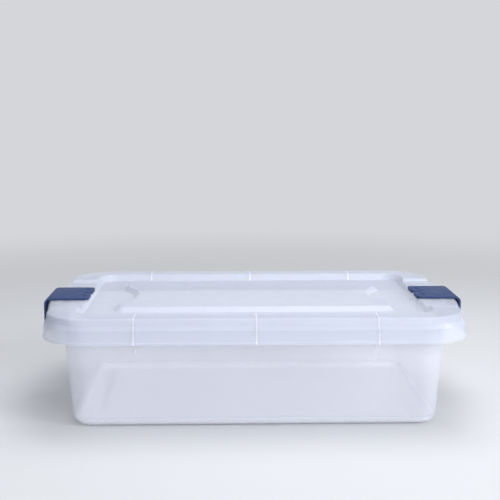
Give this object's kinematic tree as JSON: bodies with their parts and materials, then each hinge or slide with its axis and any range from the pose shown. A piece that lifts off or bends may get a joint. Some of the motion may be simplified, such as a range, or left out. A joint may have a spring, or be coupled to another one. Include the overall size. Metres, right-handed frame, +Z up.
{
  "type": "under-bed storage box",
  "caption": "Long, low translucent plastic storage box with rounded corners, a capping lid with bowed ends, a stacking recess and a raised plaque, and a hinged latch on each end.",
  "frame": {"origin": "middle of the base, on the surface that the box stands on", "axes": "+X along the box's length, towards the right latch; +Y away from the side seen in the picture; +Z up"},
  "size_m": [0.6274, 0.414, 0.164],
  "materials": {
    "tub_plastic": "milky translucent polypropylene, satin",
    "lid_plastic": "milky translucent polypropylene, satin",
    "latch_plastic": "opaque slate blue polypropylene, glossy"
  },
  "bodies": {
    "tub": {"tub": "tub_plastic"},
    "lid": {"lid": "lid_plastic"},
    "left_latch": {"left_latch": "latch_plastic"},
    "right_latch": {"right_latch": "latch_plastic"}
  },
  "joints": [
    {"name": "lid_lift", "type": "slide", "parent": "tub", "child": "lid", "axis": [0, 0, 1], "range_m": [0, 0.3]},
    {"name": "left_latch_hinge", "type": "hinge", "parent": "tub", "child": "left_latch", "pos_m": [-0.3082, 0, 0.119], "axis": [0, -1, 0], "range_deg": [0, 150]},
    {"name": "right_latch_hinge", "type": "hinge", "parent": "tub", "child": "right_latch", "pos_m": [0.3082, 0, 0.119], "axis": [0, 1, 0], "range_deg": [0, 150]}
  ]
}
